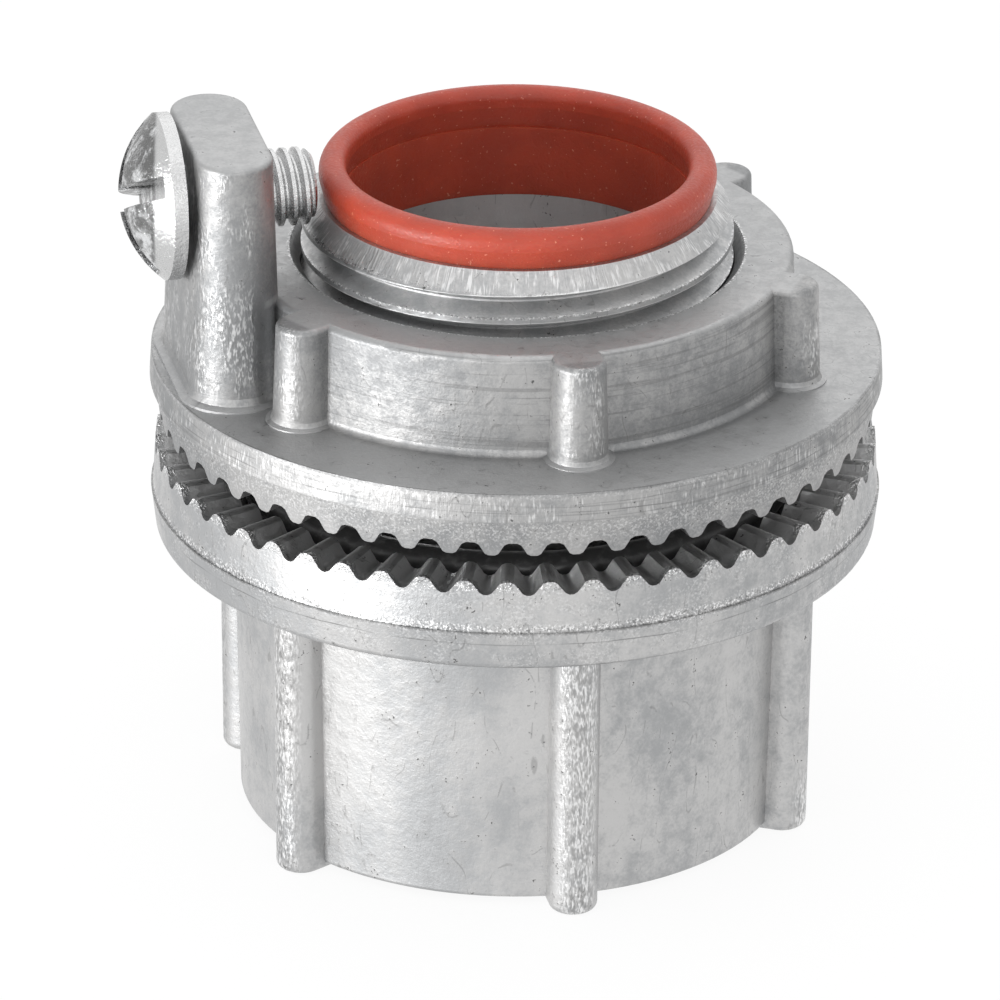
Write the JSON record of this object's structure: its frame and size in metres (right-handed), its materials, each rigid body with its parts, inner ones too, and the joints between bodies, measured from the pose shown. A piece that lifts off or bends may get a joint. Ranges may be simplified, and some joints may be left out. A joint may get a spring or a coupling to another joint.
{
  "type": "conduit hub",
  "caption": "Threaded conduit hub with a toothed flange, sealing ring, grounding locknut with a screw post, and a plastic-lined throat.",
  "frame": {"origin": "on the axis of the bore, at the foot of the body's ribs, which the hub stands on", "axes": "+Z along the bore from the conduit entry towards the nipple, -Y towards the viewer in the picture, +X to the right"},
  "size_m": [0.0471, 0.0454, 0.0472],
  "materials": {
    "zinc_casting": "satin die casting",
    "nut_casting": "satin die casting",
    "zinc_plate": "bright zinc plate",
    "red_plastic": "satin moulded plastic",
    "black_rubber": "smooth"
  },
  "bodies": {
    "hub": {"hub_body": "zinc_casting", "sealing_gasket": "black_rubber", "throat_liner": "red_plastic"},
    "nut": {"locknut": "nut_casting"},
    "screw": {"ground_screw": "zinc_plate"}
  },
  "joints": [
    {"name": "locknut_turn", "type": "hinge", "parent": "hub", "child": "nut", "pos_m": [0, 0, 0.03], "axis": [0, 0, 1], "range_deg": [-330, 2490]},
    {"name": "ground_screw_turn", "type": "hinge", "parent": "nut", "child": "screw", "pos_m": [-0.01953, -0.00433, 0.04205], "axis": [-0.9763, -0.2164, 0], "range_deg": [-220, 3670]}
  ]
}
